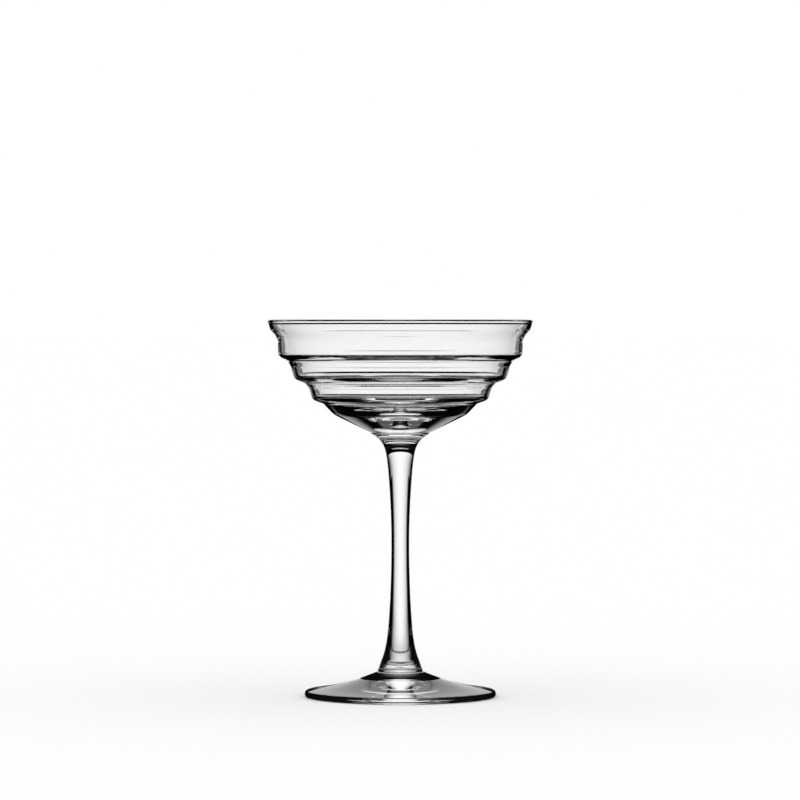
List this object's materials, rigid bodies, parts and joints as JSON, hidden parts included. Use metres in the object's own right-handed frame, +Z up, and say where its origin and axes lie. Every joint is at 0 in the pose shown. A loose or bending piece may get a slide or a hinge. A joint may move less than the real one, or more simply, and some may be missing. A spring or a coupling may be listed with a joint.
{
  "type": "cocktail coupe",
  "caption": "Clear glass cocktail coupe with a stepped, round-shouldered bowl and flared lip on a slim drawn stem and a round foot.",
  "frame": {"origin": "centre of the foot on the surface that the coupe stands on", "axes": "+Z up along the stem's axis, towards the lip; X and Y are any two level directions, because the coupe is round"},
  "size_m": [0.11, 0.11, 0.1564],
  "materials": {
    "bowl_glass": "clear blown glass with a fire-polished lip",
    "stem_glass": "clear drawn glass, smooth",
    "foot_glass": "clear pressed glass with a worn contact ring"
  },
  "bodies": {
    "root": {"bowl": "bowl_glass", "stem": "stem_glass", "foot": "foot_glass"}
  },
  "joints": []
}
